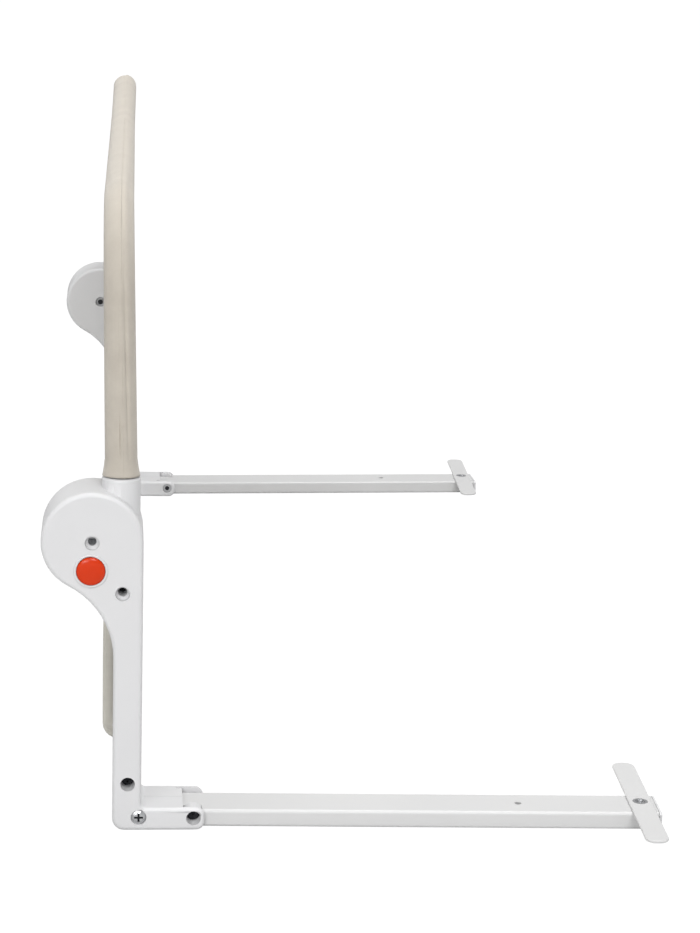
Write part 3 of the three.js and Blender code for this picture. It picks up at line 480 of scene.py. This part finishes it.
def seamLift(side, end, degrees, run):
    # the left panel laps over the right one at the edge seam, and both rise to a ridge round the near corner
    rise = smooth((run - cover["ridgeFrom"]) / cover["ridgeRise"])
    lap = max(1 - degrees / cover["lapReach"], 0) ** 1.5 if side < 0 or degrees == 0 else 0
    lap *= cover["lapHeight"] * blend(cover["lapLowShare"], 1, rise)
    ridge = cover["roof"] * rise * smooth((cover["ridgeTo"] - run) / cover["ridgeFall"]) * (end > 0)
    return lap + ridge * (max(1 - degrees / cover["ridgeReach"], 0) - math.sin(math.radians(degrees * 2)))


def coverPoint(station, across):
    # across runs from the back's inner edge, over 0, the edge seam, to the front's inner edge
    place, out, run = station
    side = 1 if across >= 0 else -1
    step = abs(across)
    y, z = place
    tubeSteps = len(tubeAngles) - 1
    if step <= tubeSteps:
        degrees = tubeAngles[step]
        angle = math.radians(degrees)
        end = 1 if y < 0 else -1
        folds = foldDepth(side * degrees * end, run)
        folds *= blend(1, cover["farFoldShare"], smooth(y / cover["legY"]))
        around = tubeAround(y, z) - folds + seamLift(side * end, end, degrees, run)
        outwards = around * math.cos(angle)
        half = side * around * math.sin(angle) + cover["seamShift"] * (1 - degrees / 90) ** 2
        unrolled = -around * angle
    else:
        depth = (step - tubeSteps) / cover["insideSteps"] * cover["bend"]
        outwards = -depth
        half = side * panelHalf(y + out[0] * outwards, z + out[1] * outwards)
        unrolled = -depth - tubeAround(y, z) * (math.pi / 2 - 1)
    along, up = y + out[0] * outwards, z + out[1] * outwards
    # the hem arches up at the ends, and only there
    low = 1 - smooth((z - cover["footZ"]) / cover["archFade"])
    arch = cover["hemArch"] * max(outwards, 0) / cover["aroundFoot"] * low
    where = at(cover["hoopX"] + coverLean(along, up) + half, along, up + arch * abs(out[0]))
    return where, (y + out[0] * unrolled, z + out[1] * unrolled)


def buildGuardCover():
    bm = bmesh.new()
    uvLayer = bm.loops.layers.uv.new("cloth")
    stations = coverStations()
    across = len(tubeAngles) - 1 + cover["insideSteps"]

    def stripPoint(column, row):
        return coverPoint(stations[column], row - across)

    mappedGrid(bm, len(stations) - 1, across * 2, stripPoint, uvLayer)
    rows = coverRows()
    inner = cover["legY"] - cover["bend"]
    for side in (-1, 1):
        def panelPoint(column, row):
            y = blend(-inner, inner, column / cover["topSteps"])
            z = rows[row]
            return at(cover["hoopX"] + coverLean(y, z) + side * panelHalf(y, z), y, z), (y, z)

        mappedGrid(bm, cover["topSteps"], len(rows) - 1, panelPoint, uvLayer)
    piece = sewnPiece(bm, "guardCoverCloth", materials["cloth"], cover)
    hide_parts("guard_cover")
    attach(piece, "guard")


# lower cover: one loop round the two bars between the stems, with round ends

skirtLow, skirtHigh = cornersOf("lower_cover")
skirt = {"barX": (skirtLow.x + skirtHigh.x) / 2, "around": (skirtHigh.x - skirtLow.x) / 2,
         "endY": skirtHigh.y, "lowZ": middleOf("lower_bar").z, "highZ": middleOf("upper_bar").z,
         "sag": 1.4, "sagFrom": 40, "ripple": 0.5, "rippleRates": (0.015, 0.02), "endRound": 3,
         "lengthSteps": 84, "arcSteps": 10, "sideSteps": 14, "endSteps": 5, "thick": 0.8, "soft": 60}


def skirtSection():
    # the loop round both bars, from the outer side of the lower one: height of its middle, direction outwards
    points = []
    for fromZ, toZ, turn, side in ((skirt["lowZ"], skirt["highZ"], math.pi, 1),
                                   (skirt["highZ"], skirt["lowZ"], 0, -1)):
        for step in range(skirt["arcSteps"] + 1):
            angle = turn + math.pi * step / skirt["arcSteps"]
            points.append((fromZ, (math.cos(angle), math.sin(angle))))
        for step in range(1, skirt["sideSteps"]):
            points.append((blend(fromZ, toZ, step / skirt["sideSteps"]), (side, 0)))
    return points


def skirtPoint(entry, y, inset):
    z, out = entry
    share = clamp((z - skirt["lowZ"]) / (skirt["highZ"] - skirt["lowZ"]))
    middle = 4 * share * (1 - share)
    along, up = skirt["rippleRates"]
    slack = skirt["sag"] * middle * smooth((skirt["endY"] - abs(y)) / skirt["sagFrom"])
    slack += skirt["ripple"] * noise.noise(Vector((y * along, z * up, out[0]))) * middle
    around = skirt["around"] - slack - inset
    return at(skirt["barX"] + out[0] * around, y, z + out[1] * around)


def skirtPlaces():
    # places along the guard, each with how far the cloth is drawn in there
    reach = skirt["endY"]
    straight = reach - skirt["endRound"]
    rounded = []
    for step in range(skirt["endSteps"] + 1):
        turn = math.pi / 2 * step / skirt["endSteps"]
        rounded.append((skirt["endRound"] * (1 - math.cos(turn)), skirt["endRound"] * (1 - math.sin(turn))))
    places = [(-reach, skirt["around"])]
    places += [(-reach + drop, inset) for drop, inset in rounded]
    places += [(blend(-straight, straight, step / skirt["lengthSteps"]), 0)
               for step in range(1, skirt["lengthSteps"])]
    places += [(reach - drop, inset) for drop, inset in reversed(rounded)]
    return places + [(reach, skirt["around"])]


def buildLowerCover():
    bm = bmesh.new()
    uvLayer = bm.loops.layers.uv.new("cloth")
    section = skirtSection()
    count = len(section)
    girth = 2 * math.pi * skirt["around"] + 2 * (skirt["highZ"] - skirt["lowZ"])
    places = skirtPlaces()

    def loopPoint(column, row):
        y, inset = places[column]
        return skirtPoint(section[row % count], y, inset), (y, girth * row / count)

    mappedGrid(bm, len(places) - 1, count, loopPoint, uvLayer)
    # the lower cover's cloth is lightened as painted light, against the shade under the guard
    piece = sewnPiece(bm, "lowerCoverCloth", materials["lowerClothLightened"], skirt)
    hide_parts("lower_cover")
    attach(piece, "base")


buildGuardCover()
print("guard cover ready")
buildLowerCover()
print("lower cover ready")


# stage: metres, watts; each light has its place, what it points at, its size and its power

stageLook = {"floorSize": 60, "paperDrop": 0.4 * mm, "horizon": 0.9, "overhead": 0.33, "band": (0.12, 0.32)}
lights = {"keyLight": ((0.6, -3.6, 3.3), (0, -0.2, 0.05), (1.6, 1.6), 75),
          "topLight": ((0.05, 0.3, 2.6), (0, 0.1, 0), (2.0, 2.0), 49),
          "sideLight": ((-1.8, -3.8, 2.0), (-0.1, -0.1, 0.15), (2.0, 1.4), 58)}


def softLight(name, place, aim, size, power):
    lamp = bpy.data.lights.new(name, "AREA")
    lamp.shape = "RECTANGLE"
    lamp.size, lamp.size_y = size
    lamp.energy = power
    holder = newObject(name, lamp)
    holder.visible_camera = False
    holder.location = place
    holder.rotation_euler = (Vector(aim) - Vector(place)).to_track_quat("-Z", "Y").to_euler()
    return holder


def addFloor(name, height, material):
    bm = bmesh.new()
    bmesh.ops.create_grid(bm, x_segments=1, y_segments=1, size=stageLook["floorSize"] / 2,
                          matrix=Matrix.Translation((0, 0, height)))
    floor = newObject(name, meshFrom(bm, name))
    floor.data.materials.append(material)
    return floor


def addStage():
    # the camera sees the light table, and the paper under it is what lights the guard from below
    table = addFloor("lightTable", 0, lightTableMaterial())
    table.visible_diffuse = False
    table.visible_glossy = False
    table.visible_shadow = False
    paper = addFloor("backgroundPaper", -stageLook["paperDrop"], paperMaterial())
    paper.visible_camera = False
    for name, settings in lights.items():
        softLight(name, *settings)


def studioDome():
    # white at the horizon and dimmer overhead, like the inside of a light tent
    world = bpy.data.worlds.new("studio")
    world.use_nodes = True
    tree = world.node_tree
    direction = addNode(tree, "ShaderNodeTexCoord")
    parts = addNode(tree, "ShaderNodeSeparateXYZ", links={"Vector": direction.outputs["Generated"]})
    height = addNode(tree, "ShaderNodeMapRange",
                     {"From Min": stageLook["band"][0], "From Max": stageLook["band"][1],
                      "To Min": stageLook["horizon"], "To Max": stageLook["overhead"]},
                     {"Value": parts.outputs["Z"]})
    tree.nodes["Background"].inputs["Color"].default_value = (1, 1, 1, 1)
    tree.links.new(height.outputs["Result"], tree.nodes["Background"].inputs["Strength"])
    bpy.context.scene.world = world


# camera solved from the photo: millimetres from the pivot, angles in degrees, focal length and picture height
# in pixels
photo = {"place": (12.2, -2070.0, 649.7), "yaw": 4.743, "pitch": 13.81, "roll": 1.558, "focalPixels": 2500,
         "heightPixels": 933, "shift": 0.04, "sensor": 36, "farthest": 100}


def addCamera():
    data = bpy.data.cameras.new("photoCamera")
    data.sensor_width = photo["sensor"]
    data.lens = photo["focalPixels"] * photo["sensor"] / photo["heightPixels"]
    data.shift_x = photo["shift"]
    data.clip_end = photo["farthest"]
    camera = newObject("photoCamera", data)
    yaw, pitch, roll = (math.radians(photo[word]) for word in ("yaw", "pitch", "roll"))
    ahead = Vector((math.sin(yaw) * math.cos(pitch), math.cos(yaw) * math.cos(pitch), -math.sin(pitch)))
    right = Vector((math.cos(yaw), -math.sin(yaw), 0))
    up = right.cross(ahead)
    imageRight = right * math.cos(roll) + up * math.sin(roll)
    imageUp = -right * math.sin(roll) + up * math.cos(roll)
    turn = Matrix((imageRight, imageUp, -ahead)).transposed().to_4x4()
    camera.matrix_world = Matrix.Translation(at(*photo["place"])) @ turn
    bpy.context.scene.camera = camera


addStage()
studioDome()
bpy.context.scene.view_settings.view_transform = "Standard"
addCamera()
print("stage ready")
